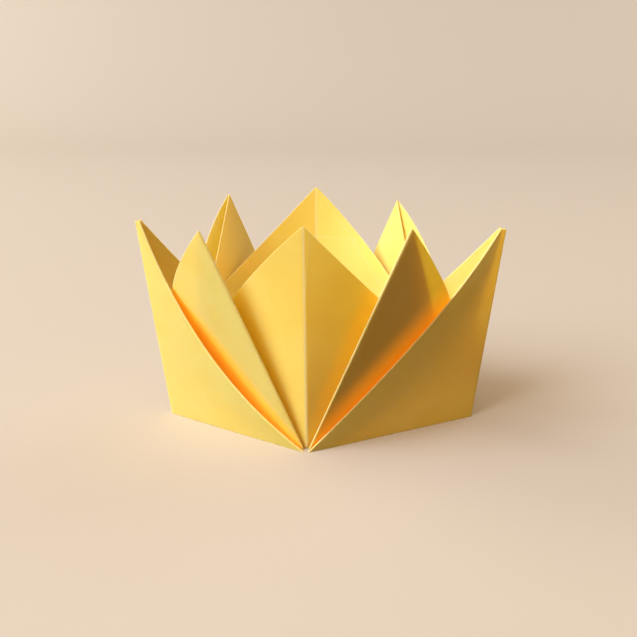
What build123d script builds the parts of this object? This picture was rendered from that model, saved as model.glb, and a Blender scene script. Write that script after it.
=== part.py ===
import os

from build123d import *

# Driving dimensions, millimetres. Groups of four run front left, front right, rear left, rear right.

# base ring: the side corners stand on X, the ridge corners on Y
half_width = 36.9
half_depth = 25.7
ridge_shift = 2.1

# the eight points
kite_height = 51.1
kite_lean = 8.2
side_height_left = 46.8
side_height_right = 45.4
side_lean = 6.2
petal_heights = (48.6, 49.3, 49.2, 47.8)
petal_reaches = (22.2, 22.2, 22.9, 21.5)
petal_leans = (1.1, 1.1, 4.5, 4.5)

# the sheet and its folds
sheet_thickness = 0.22
fold_radius = 0.3
nub_gap = 1.0
valley_inset = 2.5
corner_round_left = 2.5
corner_round_right = 1.2
side_tip_round = 0.7
side_tip_width = 0.8
kite_foot_round = 0.5
kite_tip_width = 0.8
fold_facets = 3
corner_facets = 4

# bow of the slanted edge of each outer panel
edge_bows = (4.6, 2.3, 1.2, 1.2)
edge_bow_shares = (0.45, 0.64, 0.5, 0.5)
edge_bulges = (2.0, 0.5, 0.5, 0.5)

# hidden valley between each outer panel and its petal
outer_valley_shares = (0.82, 0.84, 0.78, 0.78)
outer_valley_rises = (14.5, 16.0, 19.0, 19.0)
outer_valley_depths = (4.0, 3.0, 4.6, 3.8)
outer_tuck_share = 0.98
outer_tuck_rise = 26.0
outer_tuck_depth = -1.5
outer_tuck_cup = 1.0

# free edge of each petal
petal_edge_shares = (1.26, 1.09, 1.0, 1.0)
petal_edge_rises = (24.1, 20.9, 32.0, 32.0)
petal_edge_depths = (4.6, 5.2, 2.8, 2.8)
petal_cup = 1.0

# hidden valley between each petal and its kite half, and the free edge of the kite half
inner_valley_shares = (0.84, 0.84, 0.78, 0.74)
inner_valley_rises = (17.0, 17.0, 28.5, 22.0)
inner_valley_depths = (6.8, 6.0, 4.6, 5.6)
inner_tuck_cup = 0.7
kite_edge_reaches = (17.8, 17.1, 17.1, 16.6)
kite_edge_drops = (15.1, 17.2, 18.0, 17.0)
kite_edge_flares = (4.0, 3.0, 5.9, 5.5)

up = Vector(0, 0, 1)
layer_step = 2 * fold_radius
half_sheet = sheet_thickness / 2


def line(foot, top, control=None):
    return (foot, control if control is not None else (foot + top) * 0.5, top)


def flat(vector, along):
    return vector - along * (vector.Z / along.Z)


def facing(start, end, side):
    normal = (end[2] - start[0]).cross(start[2] - end[0]).normalized()
    return normal if normal.dot(side) > 0 else normal * -1


def level(normal):
    ground = Vector(normal.X, normal.Y, 0).normalized()
    return ground * (half_sheet / ground.dot(normal))


def shifted(edge, normal, way):
    foot, control, top = edge
    lift = normal * (half_sheet * way)
    return (foot + level(normal) * way, control + lift, top + lift)


def net(start, middle, end):
    return [[start[row], middle[row], end[row]] for row in (0, 1, 2)]


def strips(start, middle, end, count):
    """Nets of the flat strips that follow the curve from start through middle to end."""
    cuts = []
    for step in range(count + 1):
        share = step / count
        weights = ((1 - share) ** 2, 2 * share * (1 - share), share**2)
        cut = []
        for row in zip(start, middle, end):
            cut.append(sum((point * weight for point, weight in zip(row, weights)), Vector()))
        cuts.append(cut)
    return [[list(pair) for pair in zip(left, right)] for left, right in zip(cuts, cuts[1:])]


def panel(start, end, side, free_edge=None, cup=0):
    """Sheet between two fold lines, as its outer and inner control nets."""
    normal = facing(start, end, side)
    middle = [(start[row] + end[row]) * 0.5 for row in (0, 1, 2)]
    if free_edge is not None:
        middle[2] = free_edge
        middle[1] = (middle[1] + (middle[0] + free_edge) * 0.5) * 0.5
    middle[1] = middle[1] + normal * cup
    nets = []
    for way in (1, -1):
        nets.append(net(*(shifted(edge, normal, way) for edge in (start, middle, end))))
    return {"nets": nets, "normal": normal, "start": start, "end": end}


def fold(before, after, away, way):
    """Round fold between two panels; way is 1 on a mountain and -1 on a valley."""
    first = before["end"]
    last = after["start"]
    along = (first[2] + last[2] - first[0] - last[0]).normalized()
    across = (first[1] - last[1]).normalized()
    nose = along.cross(across).normalized()
    nose = nose if nose.dot(away) > 0 else nose * -1
    noses = (flat(nose, along), nose, nose)
    nets = []
    for skin in (1, -1):
        start = shifted(first, before["normal"], skin)
        end = shifted(last, after["normal"], skin)
        middle = []
        for row in (0, 1, 2):
            crown = (first[row] + last[row]) * 0.5 + noses[row] * (fold_radius + half_sheet * way * skin)
            middle.append(crown * 2 - (start[row] + end[row]) * 0.5)
        nets.append(strips(start, middle, end, fold_facets))
    return [{"nets": pair} for pair in zip(*nets)]


def corner(before, after, foot, top):
    """Rounded corner whose sides run on along the two panels to the line from foot to top."""
    first = before["end"]
    last = after["start"]
    spread = 1 + before["normal"].dot(after["normal"])
    mitre = (before["normal"] + after["normal"]) * (half_sheet / spread)
    ground = flat(mitre, top - foot)
    nets = []
    for skin in (1, -1):
        edge = (foot + ground * skin, (foot + top) * 0.5 + mitre * skin, top + mitre * skin)
        start = shifted(first, before["normal"], skin)
        end = shifted(last, after["normal"], skin)
        nets.append(strips(start, edge, end, corner_facets))
    return [{"nets": pair} for pair in zip(*nets)]


def turned(patch):
    nets = [[row[::-1] for row in one] for one in patch["nets"]]
    both = {"start": patch["end"], "end": patch["start"]} if "start" in patch else {}
    return {**patch, **both, "nets": nets}


def quarter(side, end):
    """Pleated wall from a side corner to a ridge corner: outer panel, tuck, petal, tuck, kite half."""
    index = (2 if end > 0 else 0) + (1 if side > 0 else 0)
    ridge = Vector(-ridge_shift, end * half_depth, 0)
    post = Vector(side * half_width, 0, 0)
    wall = (post - ridge).length
    run = (post - ridge).normalized()
    out = Vector(run.Y, -run.X, 0)
    out = out if out.Y * end > 0 else out * -1

    def place(reach, rise, depth):
        return ridge + run * reach + up * rise - out * depth

    def foot(layer, gap, inset=0):
        depth = layer * layer_step
        return place((gap + depth * side * out.X) / abs(run.X) + inset, 0, depth)

    side_height = side_height_right if side > 0 else side_height_left
    corner_round = corner_round_right if side > 0 else corner_round_left
    side_tip = Vector(side * (half_width + side_lean), 0, side_height)
    petal_out = half_depth + petal_leans[index]
    petal_tip = Vector(side * petal_reaches[index] - ridge_shift, end * petal_out, petal_heights[index])
    kite_tip = Vector(-ridge_shift, end * (half_depth + kite_lean), kite_height)
    gap = nub_gap / 2 + fold_radius

    post_line = line(place(wall - corner_round, 0, 0), side_tip - run * side_tip_round)
    outer_foot = foot(0, gap)
    outer_top = side_tip - run * (side_tip_round + side_tip_width)
    face = facing(line(outer_foot, outer_top), post_line, out)
    slant = (outer_top - outer_foot).normalized()
    down = face.cross(slant)
    down = down if down.dot(run) > 0 else down * -1
    share = edge_bow_shares[index]
    bow = down * edge_bows[index] + face * edge_bulges[index]
    bowed = outer_foot * (1 - share) + outer_top * share + bow * 2
    outer_line = line(outer_foot, outer_top, bowed)

    valley = place(outer_valley_shares[index] * wall, outer_valley_rises[index], outer_valley_depths[index])
    tuck_line = line(foot(1, gap), outer_top - face * layer_step, bowed - face * layer_step)
    outer_valley_near = line(foot(1, gap, valley_inset), valley)
    outer_valley_far = line(foot(2, gap, valley_inset), valley - out * layer_step)

    petal_line = line(foot(2, gap), petal_tip)
    petal_face = facing(petal_line, outer_valley_far, out)
    inner_line = line(foot(3, gap), petal_tip - petal_face * layer_step)
    hollow = place(inner_valley_shares[index] * wall, inner_valley_rises[index], inner_valley_depths[index])
    inner_valley_near = line(foot(3, gap, valley_inset), hollow)
    inner_valley_far = line(foot(4, gap, valley_inset), hollow - out * layer_step)

    kite_foot = foot(4, 0)
    kite_fall = run * kite_edge_reaches[index] - up * kite_edge_drops[index] + out * kite_edge_flares[index]
    kite_top = kite_tip + kite_fall.normalized() * kite_tip_width
    kite_line = line(kite_foot + run * kite_foot_round, kite_top)

    outer = panel(post_line, outer_line, out)
    tuck_edge = place(outer_tuck_share * wall, outer_tuck_rise, outer_tuck_depth)
    tuck = panel(tuck_line, outer_valley_near, out * -1, tuck_edge, -outer_tuck_cup)
    petal_edge = place(petal_edge_shares[index] * wall, petal_edge_rises[index], petal_edge_depths[index])
    petal = panel(outer_valley_far, petal_line, out, petal_edge, -petal_cup)
    inner = panel(inner_line, inner_valley_near, out * -1, cup=-inner_tuck_cup)
    kite = panel(inner_valley_far, kite_line, out, kite_tip + kite_fall)
    patches = [
        outer,
        *fold(outer, tuck, run * -1, 1),
        tuck,
        *fold(tuck, petal, run, -1),
        petal,
        *fold(petal, inner, run * -1, 1),
        inner,
        *fold(inner, kite, run, -1),
        kite,
    ]
    return {
        "patches": patches,
        "post": post,
        "side_tip": side_tip,
        "kite_foot": kite_foot,
        "kite_tip": kite_tip,
    }


def back(wall):
    return [turned(patch) for patch in reversed(wall["patches"])]


front_left = quarter(-1, -1)
front_right = quarter(1, -1)
rear_left = quarter(-1, 1)
rear_right = quarter(1, 1)

ring = list(front_left["patches"])
ring_right = back(front_right)
ring += corner(ring[-1], ring_right[0], front_left["kite_foot"], front_left["kite_tip"])
ring += ring_right
ring_rear = list(rear_right["patches"])
ring += corner(ring[-1], ring_rear[0], rear_right["post"], rear_right["side_tip"])
ring += ring_rear
ring_left = back(rear_left)
ring += corner(ring[-1], ring_left[0], rear_right["kite_foot"], rear_right["kite_tip"])
ring += ring_left
ring += corner(ring[-1], ring[0], front_left["post"], front_left["side_tip"])

faces = []
for patch in ring:
    outside, inside = patch["nets"]
    faces.append(Face.make_bezier_surface(outside))
    faces.append(Face.make_bezier_surface(inside))
    faces.append(Face.make_bezier_surface([outside[2], inside[2]]))

loops = [Wire([Edge.make_bezier(*patch["nets"][skin][0]) for patch in ring]) for skin in (0, 1)]
faces.append(Face(loops[0], [loops[1]]))

crown = Solid(Shell(faces))

os.makedirs("parts", exist_ok=True)
export_step(crown, "parts/folded_crown.step")
print("folded_crown", crown.is_valid, round(crown.volume), crown.bounding_box().size)
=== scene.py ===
import math

import bpy
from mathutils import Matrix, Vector


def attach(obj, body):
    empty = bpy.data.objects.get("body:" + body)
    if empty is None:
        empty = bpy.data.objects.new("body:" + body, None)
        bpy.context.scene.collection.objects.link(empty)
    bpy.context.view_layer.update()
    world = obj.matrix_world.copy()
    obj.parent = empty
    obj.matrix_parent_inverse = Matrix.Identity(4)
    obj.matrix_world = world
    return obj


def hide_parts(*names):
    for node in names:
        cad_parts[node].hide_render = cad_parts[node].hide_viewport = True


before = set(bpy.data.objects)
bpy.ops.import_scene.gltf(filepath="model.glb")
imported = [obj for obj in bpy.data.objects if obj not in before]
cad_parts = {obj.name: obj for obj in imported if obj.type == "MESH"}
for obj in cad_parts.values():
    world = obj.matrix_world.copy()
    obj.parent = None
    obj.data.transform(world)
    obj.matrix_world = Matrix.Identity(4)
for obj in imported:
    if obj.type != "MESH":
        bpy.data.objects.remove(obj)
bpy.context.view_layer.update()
scene = bpy.context.scene
mm = 0.001
up = Vector((0, 0, 1))

# the folded sheet, millimetres; groups of four run front left, front right, rear left, rear right
crown = {
    "halfWidth": 36.9, "halfDepth": 25.7, "ridgeShift": 2.1,
    "kiteHeight": 51.1, "kiteLean": 8.2,
    "sideHeightLeft": 46.8, "sideHeightRight": 45.4, "sideLean": 6.2,
    "petalHeights": (48.6, 49.3, 49.2, 47.8), "petalReaches": (22.2, 22.2, 22.9, 21.5),
    "petalLeans": (1.1, 1.1, 4.5, 4.5),
    "thickness": 0.16, "foldRadius": 0.3, "nubGap": 1.0, "valleyInset": 2.5,
    "cornerRoundLeft": 2.5, "cornerRoundRight": 1.2,
    "sideTipRounds": (0.55, 0.7), "sideTipWidths": (0.6, 0.8), "kiteFootRound": 0.5, "kiteTipWidth": 0.8,
    "edgeBows": (4.6, 2.3, 1.2, 1.2), "edgeBowShares": (0.45, 0.64, 0.5, 0.5),
    "edgeBulges": (2.0, 0.5, 0.5, 0.5),
    "outerValleyShares": (0.82, 0.84, 0.78, 0.78), "outerValleyRises": (14.5, 16.0, 19.0, 19.0),
    "outerValleyDepths": (4.0, 3.0, 4.6, 3.8), "outerTuck": (0.98, 26.0, -1.5), "outerTuckCup": 1.0,
    "petalEdgeShares": (1.26, 1.09, 0.95, 0.94), "petalEdgeRises": (24.1, 20.9, 32.0, 32.0),
    "petalEdgeDepths": (4.6, 5.2, 2.8, 2.8), "petalCup": 1.0,
    "innerValleyShares": (0.84, 0.84, 0.78, 0.74), "innerValleyRises": (17.0, 17.0, 28.5, 22.0),
    "innerValleyDepths": (6.8, 6.0, 4.6, 5.6), "innerTuckCup": 0.7,
    "kiteEdgeReaches": (17.8, 17.1, 17.1, 16.6), "kiteEdgeDrops": (15.1, 17.2, 18.0, 17.0),
    "kiteEdgeFlares": (4.0, 3.0, 5.9, 5.5),
    "pinch": 0.42, "pinchReach": 2.6, "slackReach": 5.0, "footRise": 12,
    # widths and peaks of a painted orange glow in the crevices under a covering edge, which stands in for
    # light that passes the sheet and bounces between the layers
    "petalPaintedGlowWidths": (1.4, 7.0, 1.2, 1.2), "petalPaintedGlowPeaks": (0.75, 0.85, 0.5, 0.5),
    "kitePaintedGlowWidths": (0.5, 2.4, 0.5, 0.5), "kitePaintedGlowPeaks": (0.0, 0.4, 0.0, 0.0),
    "kiteBend": 38.0, "kiteBendSlope": 0.06, "kiteBendStart": 12.0,
    "rows": 44, "panelColumns": 12, "foldColumns": 8, "cornerColumns": 8, "edgeColumn": 0.012,
    "coverSteps": 40, "creviceSteps": 24, "weldGap": 0.001, "sharpAngle": 50,
}

layerStep = 2 * crown["foldRadius"]
hiddenGap = 20.0                            # crease distance that stands for no visible crease


def creaseLine(foot, top, control=None):
    return (foot, control if control is not None else (foot + top) * 0.5, top)


def bend(a, b, c, t):
    return a * (1 - t) ** 2 + b * (2 * t * (1 - t)) + c * t ** 2


def along(line, v):
    return bend(line[0], line[1], line[2], v)


def toward(vector, side):
    return vector if vector.dot(side) > 0 else -vector


def panelNormal(start, end, side):
    return toward((end[2] - start[0]).cross(start[2] - end[0]).normalized(), side)


def panelPatch(start, end, side, freeEdge=None, cup=0.0, creases=(True, True)):
    normal = panelNormal(start, end, side)
    middle = [(start[row] + end[row]) * 0.5 for row in range(3)]
    if freeEdge is not None:
        middle[2] = freeEdge
        middle[1] = (middle[1] + (middle[0] + freeEdge) * 0.5) * 0.5
    middle[1] = middle[1] + normal * cup
    return {"kind": "panel", "start": start, "middle": middle, "end": end,
            "creases": creases, "mates": [None, None], "cover": None, "crevice": {}}


def foldPatch(before, after, away, mountain):
    first = before["end"]
    last = after["start"]
    way = (first[2] + last[2] - first[0] - last[0]).normalized()
    across = (first[1] - last[1]).normalized()
    nose = toward(way.cross(across).normalized(), away)
    if mountain:
        before["mates"][1] = last
        after["mates"][0] = first
    return {"kind": "fold", "first": first, "last": last, "nose": nose, "mountain": mountain,
            "footNose": nose - way * (nose.z / way.z)}


def cornerPatch(before, after, foot, top):
    return {"kind": "corner", "first": before["end"], "last": after["start"], "edge": creaseLine(foot, top)}


def turned(patch):
    other = dict(patch)
    if patch["kind"] == "panel":
        other["start"] = patch["end"]
        other["end"] = patch["start"]
        other["creases"] = patch["creases"][::-1]
        other["mates"] = patch["mates"][::-1]
    else:
        other["first"] = patch["last"]
        other["last"] = patch["first"]
    return other


def pleatedQuarter(side, end):               # outer panel, tuck, petal, tuck, kite half
    s = crown
    index = (2 if end > 0 else 0) + (1 if side > 0 else 0)
    ridge = Vector((-s["ridgeShift"], end * s["halfDepth"], 0))
    post = Vector((side * s["halfWidth"], 0, 0))
    wall = (post - ridge).length
    run = (post - ridge).normalized()
    out = toward(Vector((run.y, -run.x, 0)), Vector((0, end, 0)))
    gap = s["nubGap"] / 2 + s["foldRadius"]

    def place(reach, rise, depth):
        return ridge + run * reach + up * rise - out * depth

    def foot(layer, gap, inset=0.0):
        depth = layer * layerStep
        return place((gap + depth * side * out.x) / abs(run.x) + inset, 0, depth)

    sideHeight = s["sideHeightRight"] if side > 0 else s["sideHeightLeft"]
    cornerRound = s["cornerRoundRight"] if side > 0 else s["cornerRoundLeft"]
    tipRound = s["sideTipRounds"][index % 2]
    tipWidth = s["sideTipWidths"][index % 2]
    sideTip = Vector((side * (s["halfWidth"] + s["sideLean"]), 0, sideHeight))
    petalTip = Vector((side * s["petalReaches"][index] - s["ridgeShift"],
                       end * (s["halfDepth"] + s["petalLeans"][index]), s["petalHeights"][index]))
    kiteTip = Vector((-s["ridgeShift"], end * (s["halfDepth"] + s["kiteLean"]), s["kiteHeight"]))

    postLine = creaseLine(place(wall - cornerRound, 0, 0), sideTip - run * tipRound)
    outerFoot = foot(0, gap)
    outerTop = sideTip - run * (tipRound + tipWidth)
    face = panelNormal(creaseLine(outerFoot, outerTop), postLine, out)
    down = toward(face.cross((outerTop - outerFoot).normalized()), run)
    share = s["edgeBowShares"][index]
    bow = down * s["edgeBows"][index] + face * s["edgeBulges"][index]
    bowed = outerFoot * (1 - share) + outerTop * share + bow * 2
    outerLine = creaseLine(outerFoot, outerTop, bowed)

    valley = place(s["outerValleyShares"][index] * wall, s["outerValleyRises"][index],
                   s["outerValleyDepths"][index])
    tuckLine = creaseLine(foot(1, gap), outerTop - face * layerStep, bowed - face * layerStep)
    valleyNear = creaseLine(foot(1, gap, s["valleyInset"]), valley)
    valleyFar = creaseLine(foot(2, gap, s["valleyInset"]), valley - out * layerStep)

    petalLine = creaseLine(foot(2, gap), petalTip)
    petalFace = panelNormal(petalLine, valleyFar, out)
    innerLine = creaseLine(foot(3, gap), petalTip - petalFace * layerStep)
    hollow = place(s["innerValleyShares"][index] * wall, s["innerValleyRises"][index],
                   s["innerValleyDepths"][index])
    hollowNear = creaseLine(foot(3, gap, s["valleyInset"]), hollow)
    hollowFar = creaseLine(foot(4, gap, s["valleyInset"]), hollow - out * layerStep)

    kiteFoot = foot(4, 0)
    kiteFall = run * s["kiteEdgeReaches"][index] - up * s["kiteEdgeDrops"][index]
    kiteFall = kiteFall + out * s["kiteEdgeFlares"][index]
    kiteTop = kiteTip + kiteFall.normalized() * s["kiteTipWidth"]
    kiteLine = creaseLine(kiteFoot + run * s["kiteFootRound"], kiteTop)

    tuckEdge = place(s["outerTuck"][0] * wall, s["outerTuck"][1], s["outerTuck"][2])
    petalEdge = place(s["petalEdgeShares"][index] * wall, s["petalEdgeRises"][index],
                      s["petalEdgeDepths"][index])
    outer = panelPatch(postLine, outerLine, out)
    tuck = panelPatch(tuckLine, valleyNear, -out, tuckEdge, -s["outerTuckCup"], (True, False))
    petal = panelPatch(valleyFar, petalLine, out, petalEdge, -s["petalCup"], (False, True))
    inner = panelPatch(innerLine, hollowNear, -out, None, -s["innerTuckCup"], (True, False))
    kite = panelPatch(hollowFar, kiteLine, out, kiteTip + kiteFall, 0.0, (False, True))
    patches = [
        outer, foldPatch(outer, tuck, -run, True),
        tuck, foldPatch(tuck, petal, run, False),
        petal, foldPatch(petal, inner, -run, True),
        inner, foldPatch(inner, kite, run, False),
        kite,
    ]
    # each petal and kite takes the width and peak of its painted crevice glow
    for patch, cover, paintedGlows, peaks in ((petal, outerLine, "petalPaintedGlowWidths", "petalPaintedGlowPeaks"),
                                        (kite, petalLine, "kitePaintedGlowWidths", "kitePaintedGlowPeaks")):
        patch["paintedGlow"] = s[paintedGlows][index]
        patch["peak"] = s[peaks][index]
        patch["cover"] = cover if patch["peak"] > 0 else None
    return {"patches": patches, "post": post, "sideTip": sideTip, "kiteFoot": kiteFoot, "kiteTip": kiteTip}


def crownRing():
    frontLeft = pleatedQuarter(-1, -1)
    frontRight = pleatedQuarter(1, -1)
    rearLeft = pleatedQuarter(-1, 1)
    rearRight = pleatedQuarter(1, 1)

    def reverse(quarter):
        return [turned(patch) for patch in reversed(quarter["patches"])]

    runs = [frontLeft["patches"], reverse(frontRight), rearRight["patches"], reverse(rearLeft)]
    edges = [(frontLeft["kiteFoot"], frontLeft["kiteTip"]), (frontRight["post"], frontRight["sideTip"]),
             (rearRight["kiteFoot"], rearRight["kiteTip"]), (rearLeft["post"], rearLeft["sideTip"])]
    ring = []
    for number, patches in enumerate(runs):
        following = runs[(number + 1) % 4]
        ring += patches
        ring.append(cornerPatch(patches[-1], following[0], *edges[number]))
    return ring


def panelShares():                           # columns crowd against both folds
    count = crown["panelColumns"]
    inner = [step / count for step in range(1, count)]
    return [0.0, crown["edgeColumn"]] + inner + [1 - crown["edgeColumn"], 1.0]


def fade(reach):
    share = min(1.0, reach / crown["pinchReach"])
    return (1 - share) ** 2 * (1 + 2 * share)


def coverGap(patch, point):                  # distance to the folded edge that lies over this panel
    steps = crown["coverSteps"]
    return min((along(patch["cover"], step / steps) - point).length for step in range(steps + 1))


def crevice(patch, v):                       # closest approach of that edge on this row, and where it is
    if v not in patch["crevice"]:
        start, middle, end = (along(patch[line], v) for line in ("start", "middle", "end"))
        steps = crown["creviceSteps"]
        shares = [step / steps for step in range(steps + 1)]
        patch["crevice"][v] = min((coverGap(patch, bend(start, middle, end, u)), u) for u in shares)
    return patch["crevice"][v]


def paintedCreviceGlow(patch, point, u, v):         # painted orange glow standing for light through the sheet, full under the covering edge, fading on the open side
    if patch["cover"] is None:
        return 0.0
    gap, share = crevice(patch, v)
    if (u < share) == patch["creases"][1]:   # this side of the row lies under the edge
        return patch["peak"]
    return patch["peak"] * max(0.0, 1 - max(0.0, coverGap(patch, point) - gap) / patch["paintedGlow"])


# gives a point, its distance to a visible crease and to any fold, and its painted crevice glow
def patchColumn(patch, u, v):
    if patch["kind"] == "panel":
        start = along(patch["start"], v)
        end = along(patch["end"], v)
        point = bend(start, along(patch["middle"], v), end, u)
        border = math.pi / 2 * crown["foldRadius"]
        toStart = (point - start).length
        toEnd = (point - end).length
        for mate, edge, reach in zip(patch["mates"], (start, end), (toStart, toEnd)):
            if mate is not None:             # the two layers close up towards their fold
                point = point + (along(mate, v) - edge) * (0.5 * crown["pinch"] * fade(reach))
        gaps = [reach + border if crease else hiddenGap
                for reach, crease in zip((toStart, toEnd), patch["creases"])]
        return point, min(gaps), min(toStart, toEnd), paintedCreviceGlow(patch, point, u, v)
    first = along(patch["first"], v)
    last = along(patch["last"], v)
    if patch["kind"] == "fold":
        angle = math.pi * u
        nose = patch["footNose"].lerp(patch["nose"], min(1.0, v * crown["footRise"]))
        spread = 1 - crown["pinch"] if patch["mountain"] else 1.0
        point = (first + last) * 0.5 + (first - last) * (0.5 * spread * math.cos(angle))
        point = point + nose * (crown["foldRadius"] * math.sin(angle))
        gap = abs(u - 0.5) * math.pi * crown["foldRadius"] if patch["mountain"] else hiddenGap
        return point, gap, 0.0, 0.0
    point = bend(first, along(patch["edge"], v), last, u)
    middle = bend(first, along(patch["edge"], v), last, 0.5)
    return point, (point - middle).length, 0.0, 0.0


def sheetMesh(name):
    rows = crown["rows"]
    columns = []
    for patch in crownRing():
        if patch["kind"] == "panel":
            shares = panelShares()
        else:
            count = crown["foldColumns" if patch["kind"] == "fold" else "cornerColumns"]
            shares = [step / count for step in range(1, count)]
        for u in shares:
            columns.append([patchColumn(patch, u, row / rows) for row in range(rows + 1)])
    points = []
    gaps = []
    slacks = []
    rims = []
    paintedGlows = []
    for column in columns:
        top = column[-1][0]
        for point, gap, free, paintedGlow in column:
            rear = min(1.0, max(0.0, point.y / crown["kiteBendStart"] - 1))
            point.y -= rear * max(0.0, point.z - crown["kiteBend"]) * crown["kiteBendSlope"]
            points.append(tuple(point * mm))
            paintedGlows.append(paintedGlow)
            gaps.append(gap)
            slacks.append(min(1.0, free / crown["slackReach"]))
            rims.append((point - top).length)
    height = rows + 1
    faces = []
    for c in range(len(columns)):
        left = c * height
        right = ((c + 1) % len(columns)) * height
        for r in range(rows):
            faces.append((left + r, right + r, right + r + 1, left + r + 1))
    mesh = bpy.data.meshes.new(name)
    mesh.from_pydata(points, [], faces)
    # paintedGlow holds the painted crevice glow; creaseGap and rimGap place the pale wear lines, which are
    # partly painted highlight
    for label, values in (("creaseGap", gaps), ("slack", slacks), ("rimGap", rims), ("paintedGlow", paintedGlows)):
        mesh.attributes.new(label, "FLOAT", "POINT").data.foreach_set("value", values)
    return mesh


class Tree:                                  # adds nodes of any type, with settings and socket values
    def __init__(self, tree):
        self.tree = tree

    def add(self, kind, settings=None, sockets=None):
        node = self.tree.nodes.new(kind)
        for key, value in (settings or {}).items():
            setattr(node, key, value)
        for key, value in (sockets or {}).items():
            self.feed(node.inputs[key], value)
        return node

    def feed(self, socket, value):
        if isinstance(value, Value):
            value = value.socket
        if isinstance(value, bpy.types.NodeSocket):
            self.tree.links.new(value, socket)
        else:
            socket.default_value = value

    def value(self, kind, settings=None, sockets=None, output=0):
        return Value(self, self.add(kind, settings, sockets).outputs[output])


class Value:                                 # a number socket that takes Python's operators
    def __init__(self, tree, socket):
        self.tree = tree
        self.socket = socket

    def math(self, operation, *terms):
        kind = "ShaderNodeMath"
        return self.tree.value(kind, {"operation": operation}, dict(enumerate(terms)))

    def __add__(self, other):
        return self.math("ADD", self, other)

    def __radd__(self, other):
        return self.math("ADD", other, self)

    def __sub__(self, other):
        return self.math("SUBTRACT", self, other)

    def __rsub__(self, other):
        return self.math("SUBTRACT", other, self)

    def __mul__(self, other):
        return self.math("MULTIPLY", self, other)

    def __rmul__(self, other):
        return self.math("MULTIPLY", other, self)

    def __truediv__(self, other):
        return self.math("DIVIDE", self, other)

    def __rtruediv__(self, other):
        return self.math("DIVIDE", other, self)

    def over(self, low, high):               # smooth step from low to high
        settings = {"clamp": True, "interpolation_type": "SMOOTHSTEP"}
        ends = {"Value": self, "From Min": low, "From Max": high, "To Min": 0.0, "To Max": 1.0}
        return self.tree.value("ShaderNodeMapRange", settings, ends)


# paper colours are linear, widths are millimetres, and ends are where a mark starts and stops to show
paper = {
    "deep": (0.95, 0.68, 0.160, 1), "light": (0.97, 0.72, 0.195, 1), "cloudEnds": (0.35, 0.65),
    "fibre": (0.84, 0.56, 0.11, 1), "fibreEnds": (0.60, 0.78), "fibreShare": 0.35,
    "grainHeight": 0.6, "fibreHeight": 0.4, "strayHeight": 2.5,
    "bumpStrength": 0.22, "bumpDepth": 0.06 * mm,
    # wear lines along creases are pale, partly real crease whitening and partly painted highlight
    "wearAndHighlight": (0.95, 0.82, 0.44, 1), "wearAndHighlightWidth": 0.32, "wearAndHighlightCoreShare": 0.35, "wearAndHighlightShare": 0.85,
    "raggedLeast": 0.55, "raggedSpread": 0.9,
    # rim lines along the top edges are pale, partly real edge and partly painted highlight
    "rimWidth": 0.22, "rimCoreShare": 0.5, "rimShare": 0.7, "strayShare": 0.6,
    # painted crevice glow: orange base colour and emission that stand in for light passing the sheet
    "paintedGlow": (0.98, 0.45, 0.020, 1), "paintedGlowEnds": (0.1, 0.95), "paintedGlowShare": 0.8,
    "paintedGlowEmission": (1.0, 0.36, 0.010, 1), "paintedGlowEmissionStrength": 0.26,
    "roughness": 0.62, "roughSpread": 0.16, "specular": 0.25,
    "glow": 0.9, "glowRadius": (1.0, 0.88, 0.4), "glowDepth": 0.7 * mm,
}

# clouds in the colour, fibres, surface grain and the ragged edge of the wear and painted highlight lines
paperNoise = {
    "cloud": {"size": 14 * mm, "detail": 3.0},
    "fibre": {"size": 0.35 * mm, "detail": 4.0, "rough": 0.6, "stretch": (1, 1, 0.35)},
    "grain": {"size": 0.22 * mm, "detail": 3.0, "rough": 0.65},
    "ragged": {"size": 2.5 * mm, "detail": 2.0},
}

# stray creases as x, z to x, z on the front or rear kite, with width and strength; they show as pale lines,
# partly crease marks and partly painted highlight
strayCreases = [
    {"front": True, "ends": ((-0.7, 50.0), (-1.8, 36.5)), "width": 0.17, "strength": 1.0},
    {"front": True, "ends": ((2.0, 45.6), (8.5, 45.9)), "width": 0.30, "strength": 0.25},
    {"front": True, "ends": ((3.5, 39.2), (13.0, 38.4)), "width": 0.35, "strength": 0.25},
    {"front": False, "ends": ((-13.0, 38.6), (8.0, 38.0)), "width": 0.40, "strength": 0.45},
    {"front": False, "ends": ((-0.8, 50.0), (-1.6, 40.0)), "width": 0.18, "strength": 0.6},
    {"front": False, "ends": ((-1.0, 49.4), (7.0, 38.4)), "width": 0.18, "strength": 0.8},
    {"front": False, "ends": ((7.0, 38.4), (15.4, 27.0)), "width": 0.18, "strength": 0.8},
]


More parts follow.
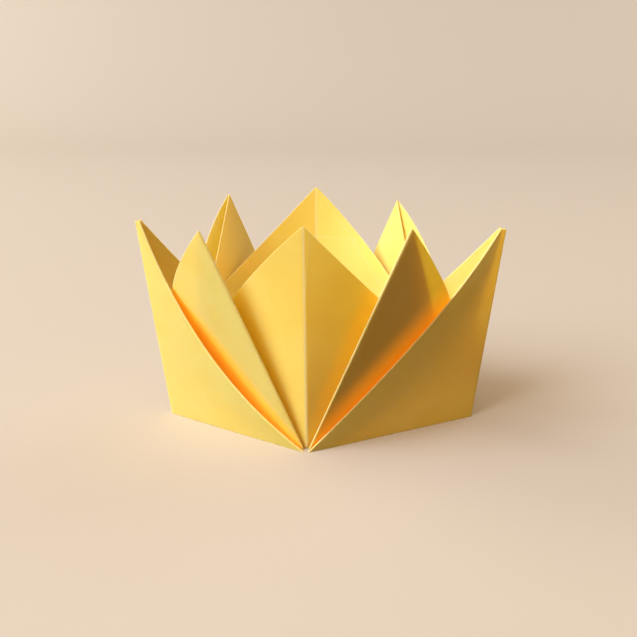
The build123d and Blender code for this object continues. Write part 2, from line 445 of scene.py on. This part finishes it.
def paperMaterial(name):
    material = bpy.data.materials.new(name)
    material.use_nodes = True
    material.node_tree.nodes.clear()
    tree = Tree(material.node_tree)
    place = tree.add("ShaderNodeTexCoord").outputs["Object"]

    def noise(size, detail, rough=0.5, stretch=(1, 1, 1)):
        spot = tree.add("ShaderNodeMapping", None, {"Vector": place, "Scale": stretch}).outputs[0]
        return tree.value("ShaderNodeTexNoise", None,
                          {"Vector": spot, "Scale": 1 / size, "Detail": detail, "Roughness": rough})

    def mix(factor, a, b):
        node = tree.add("ShaderNodeMix", {"data_type": "RGBA"}, {0: factor})
        tree.feed(node.inputs[6], a)
        tree.feed(node.inputs[7], b)
        return node.outputs[2]

    cloud = noise(**paperNoise["cloud"])
    fibre = noise(**paperNoise["fibre"])
    grain = noise(**paperNoise["grain"])
    creaseGap = tree.value("ShaderNodeAttribute", {"attribute_name": "creaseGap"}, output=2)
    rimGap = tree.value("ShaderNodeAttribute", {"attribute_name": "rimGap"}, output=2)
    ragged = noise(**paperNoise["ragged"])
    spread = ragged * paper["raggedSpread"] + paper["raggedLeast"]
    # pale crease lines, partly real wear and partly painted highlight
    wearAndHighlight = 1 - (creaseGap / spread).over(paper["wearAndHighlightWidth"] * paper["wearAndHighlightCoreShare"], paper["wearAndHighlightWidth"])
    # pale top-edge rim, partly real edge and partly painted highlight
    rim = 1 - rimGap.over(paper["rimWidth"] * paper["rimCoreShare"], paper["rimWidth"])
    # mask of the painted crevice glow
    paintedGlow = tree.value("ShaderNodeAttribute", {"attribute_name": "paintedGlow"}, output=2)
    spot = tree.add("ShaderNodeSeparateXYZ", None, {0: place}).outputs
    x, y, z = (Value(tree, socket) / mm for socket in spot)

    def strayCrease(crease):                 # one inside the line, nothing outside it
        (ax, az), (bx, bz) = crease["ends"]
        dx = bx - ax
        dz = bz - az
        share = ((x - ax) * dx + (z - az) * dz) / (dx * dx + dz * dz)
        share = share.math("MINIMUM", share.math("MAXIMUM", share, 0.0), 1.0)
        offX = x - ax - share * dx
        offZ = z - az - share * dz
        gap = share.math("SQRT", offX * offX + offZ * offZ)
        side = y.math("LESS_THAN", y, 0.0) if crease["front"] else y.math("GREATER_THAN", y, 0.0)
        return (1 - gap.over(0.0, crease["width"])) * side * crease["strength"]

    stray = strayCrease(strayCreases[0])
    for crease in strayCreases[1:]:
        other = strayCrease(crease)
        stray = stray.math("MAXIMUM", stray, other)
    colour = mix(cloud.over(*paper["cloudEnds"]), paper["deep"], paper["light"])
    # painted orange glow in the crevices, standing for light through the sheet
    colour = mix(paintedGlow.over(*paper["paintedGlowEnds"]) * paper["paintedGlowShare"], colour, paper["paintedGlow"])
    colour = mix(fibre.over(*paper["fibreEnds"]) * paper["fibreShare"], colour, paper["fibre"])
    # rim and stray crease lines join the wear lines, partly painted highlight
    wearAndHighlight = wearAndHighlight.math("MAXIMUM", wearAndHighlight, rim * paper["rimShare"])
    wearAndHighlight = wearAndHighlight.math("MAXIMUM", wearAndHighlight, stray * paper["strayShare"])
    colour = mix(wearAndHighlight * paper["wearAndHighlightShare"], colour, paper["wearAndHighlight"])
    height = grain * paper["grainHeight"] + fibre * paper["fibreHeight"] + stray * paper["strayHeight"]
    bump = tree.add("ShaderNodeBump", None, {
        "Strength": paper["bumpStrength"], "Distance": paper["bumpDepth"], "Height": height})
    lit = paintedGlow.over(*paper["paintedGlowEnds"])    # painted glow: emission that stands in for light that passes the thin sheet
    paintedGlowEmission = mix(lit, (0, 0, 0, 1), paper["paintedGlowEmission"])
    rough = paper["roughness"] - paper["roughSpread"] / 2 + grain * paper["roughSpread"]
    shader = tree.add("ShaderNodeBsdfPrincipled", None, {
        "Base Color": colour, "Roughness": rough, "Normal": bump.outputs[0],
        "Emission Color": paintedGlowEmission, "Emission Strength": paper["paintedGlowEmissionStrength"],
        "Subsurface Weight": paper["glow"], "Subsurface Radius": paper["glowRadius"],
        "Subsurface Scale": paper["glowDepth"], "Specular IOR Level": paper["specular"]})
    tree.add("ShaderNodeOutputMaterial", None, {"Surface": shader.outputs[0]})
    return material


def paperTree():                             # gives the sheet its flutter and its thickness
    tree = bpy.data.node_groups.new("paperSheet", "GeometryNodeTree")
    face = tree.interface
    face.new_socket("Geometry", in_out="INPUT", socket_type="NodeSocketGeometry")
    for label, kind in (("Thickness", "NodeSocketFloat"), ("Flutter", "NodeSocketFloat"),
                        ("Flutter Size", "NodeSocketFloat"), ("Seed", "NodeSocketFloat"),
                        ("Material", "NodeSocketMaterial")):
        face.new_socket(label, in_out="INPUT", socket_type=kind)
    face.new_socket("Geometry", in_out="OUTPUT", socket_type="NodeSocketGeometry")
    nodes = Tree(tree)
    given = nodes.add("NodeGroupInput").outputs
    thickness = Value(nodes, given["Thickness"])
    noise = nodes.value("ShaderNodeTexNoise", {"noise_dimensions": "4D"}, {
        "Vector": nodes.add("GeometryNodeInputPosition").outputs[0], "W": given["Seed"],
        "Scale": 1 / Value(nodes, given["Flutter Size"]), "Detail": 1.0})
    slack = nodes.value("GeometryNodeInputNamedAttribute", {"data_type": "FLOAT"}, {"Name": "slack"})
    shift = (noise - 0.5) * Value(nodes, given["Flutter"]) * slack - thickness * 0.5
    lean = nodes.add("ShaderNodeVectorMath", {"operation": "SCALE"}, {
        "Vector": nodes.add("GeometryNodeInputNormal").outputs[0], "Scale": shift}).outputs[0]
    sheet = nodes.add("GeometryNodeSetPosition", None, {
        "Geometry": given["Geometry"], "Offset": lean}).outputs[0]
    front = nodes.add("GeometryNodeExtrudeMesh", {"mode": "FACES"}, {
        "Mesh": sheet, "Offset Scale": thickness, "Individual": False}).outputs[0]
    back = nodes.add("GeometryNodeFlipFaces", None, {"Mesh": sheet}).outputs[0]
    both = nodes.add("GeometryNodeJoinGeometry")
    tree.links.new(front, both.inputs[0])
    tree.links.new(back, both.inputs[0])
    body = nodes.add("GeometryNodeMergeByDistance", None, {
        "Geometry": both.outputs[0], "Distance": crown["weldGap"] * mm})
    place = nodes.add("GeometryNodeInputPosition").outputs[0]
    spot = nodes.add("ShaderNodeSeparateXYZ", None, {0: place}).outputs
    level = Value(nodes, spot[2]).math("MAXIMUM", spot[2], 0.0)
    settled = nodes.add("ShaderNodeCombineXYZ", None, {0: spot[0], 1: spot[1], 2: level}).outputs[0]
    body = nodes.add("GeometryNodeSetPosition", None, {"Geometry": body.outputs[0], "Position": settled})
    body = nodes.add("GeometryNodeRealizeInstances", None, {"Geometry": body.outputs[0]})
    body = nodes.add("GeometryNodeSetMaterial", None, {
        "Geometry": body.outputs[0], "Material": given["Material"]})
    nodes.add("NodeGroupOutput", None, {0: body.outputs[0]})
    return tree


flutter = {"Thickness": crown["thickness"] * mm, "Flutter": 0.25 * mm, "Flutter Size": 22 * mm, "Seed": 3.0}


def foldedCrown():
    piece = bpy.data.objects.new("foldedCrown", sheetMesh("foldedCrownSheet"))
    scene.collection.objects.link(piece)
    tree = paperTree()
    modifier = piece.modifiers.new("paperSheet", "NODES")
    modifier.node_group = tree
    sockets = {item.name: item.identifier for item in tree.interface.items_tree if item.in_out == "INPUT"}
    for label, value in flutter.items():
        modifier[sockets[label]] = value
    modifier[sockets["Material"]] = paperMaterial("yellowPaper")
    bpy.context.view_layer.update()
    depsgraph = bpy.context.evaluated_depsgraph_get()
    mesh = bpy.data.meshes.new_from_object(piece.evaluated_get(depsgraph))
    piece.modifiers.remove(modifier)
    piece.data = mesh
    mesh.name = "foldedCrown"
    mesh.shade_smooth()
    mesh.set_sharp_from_angle(angle=math.radians(crown["sharpAngle"]))
    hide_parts("folded_crown")
    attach(piece, "root")
    print("crown sheet:", len(mesh.vertices), "points,", len(mesh.polygons), "faces")


foldedCrown()

# pale sweep under and behind the crown
studio = {
    "floor": (0.56, 0.55, 0.53, 1), "bounce": (0.17, 0.085, 0.022, 1), "halfWidth": 1.6, "front": -0.9,
    "bendStart": 0.80, "bendRadius": 0.6, "bendSteps": 16, "wallTop": 1.4, "roughness": 0.9,
    "air": (1.0, 0.48, 0.14, 1), "airStrength": 0.27, "backdrop": (0.62, 0.57, 0.51, 1),
}


def seenRay(tree):                           # one on rays that show a surface, nothing on rays that light
    path = tree.add("ShaderNodeLightPath").outputs
    return Value(tree, path["Is Camera Ray"]) + path["Is Glossy Ray"] + path["Is Transmission Ray"]


def studioSweep():
    s = studio
    profile = [(s["front"], 0.0), (s["bendStart"], 0.0)]
    for step in range(1, s["bendSteps"] + 1):
        angle = math.pi / 2 * step / s["bendSteps"]
        profile.append((s["bendStart"] + s["bendRadius"] * math.sin(angle),
                        s["bendRadius"] * (1 - math.cos(angle))))
    profile.append((s["bendStart"] + s["bendRadius"], s["wallTop"]))
    points = [(x, y, z) for y, z in profile for x in (-s["halfWidth"], s["halfWidth"])]
    faces = [(2 * i, 2 * i + 1, 2 * i + 3, 2 * i + 2) for i in range(len(profile) - 1)]
    mesh = bpy.data.meshes.new("studioSweep")
    mesh.from_pydata(points, [], faces)
    mesh.shade_smooth()
    sweep = bpy.data.objects.new("studioSweep", mesh)
    scene.collection.objects.link(sweep)
    material = bpy.data.materials.new("paleFloor")
    material.use_nodes = True
    tree = Tree(material.node_tree)
    tone = tree.add("ShaderNodeMix", {"data_type": "RGBA"}, {0: seenRay(tree)})   # dimmer as a reflector
    tone.inputs[6].default_value = s["bounce"]
    tone.inputs[7].default_value = s["floor"]
    shader = material.node_tree.nodes["Principled BSDF"]
    tree.feed(shader.inputs["Base Color"], tone.outputs[2])
    shader.inputs["Roughness"].default_value = s["roughness"]
    mesh.materials.append(material)


studioSweep()

# key from the left and a little in front, a side light that shines through the sheet, weak fills
lamps = {
    "key": {"at": (-1.54, -0.94, 1.16), "size": 2.2, "power": 71.5, "colour": (1.0, 0.99, 0.97)},
    "side": {"at": (-1.56, 1.04, 0.70), "size": 1.4, "power": 25.4, "colour": (1.0, 0.87, 0.66)},
    "rear": {"at": (1.00, 1.00, 0.85), "size": 1.0, "power": 7.0, "colour": (1.0, 0.92, 0.80)},
    "fill": {"at": (0.0, -0.96, 1.36), "size": 1.12, "power": 8.0, "colour": (1.0, 0.62, 0.24)},
}
lampAim = Vector((0, 0, 0.025))


def studioLight():
    for name, lamp in lamps.items():
        data = bpy.data.lights.new(name, "AREA")
        data.energy = lamp["power"]
        data.size = lamp["size"]
        data.color = lamp["colour"]
        light = bpy.data.objects.new(name, data)
        light.location = lamp["at"]
        aim = lampAim - light.location
        light.rotation_euler = aim.to_track_quat("-Z", "Y").to_euler()
        scene.collection.objects.link(light)
    world = bpy.data.worlds.new("studioAir")
    world.use_nodes = True
    tree = Tree(world.node_tree)
    air = world.node_tree.nodes["Background"]
    air.inputs["Color"].default_value = studio["air"]
    air.inputs["Strength"].default_value = studio["airStrength"]
    backdrop = tree.add("ShaderNodeBackground", None, {"Color": studio["backdrop"]})
    blend = tree.add("ShaderNodeMixShader", None, {
        0: seenRay(tree), 1: air.outputs[0], 2: backdrop.outputs[0]})
    tree.feed(world.node_tree.nodes["World Output"].inputs["Surface"], blend.outputs[0])
    scene.world = world


studioLight()

view = {"at": (8.25, -231.3, 81.8), "aim": (-0.31, 0.0, 23.8), "angle": 35.0, "clipStart": 10.0}


def studioCamera():
    data = bpy.data.cameras.new("camera")
    data.sensor_fit = "HORIZONTAL"
    data.angle = math.radians(view["angle"])
    data.clip_start = view["clipStart"] * mm
    camera = bpy.data.objects.new("camera", data)
    camera.location = Vector(view["at"]) * mm
    aim = (Vector(view["aim"]) - Vector(view["at"])) * mm
    camera.rotation_euler = aim.to_track_quat("-Z", "Y").to_euler()
    scene.collection.objects.link(camera)
    scene.camera = camera


studioCamera()
scene.view_settings.view_transform = "Standard"
print("studio set")
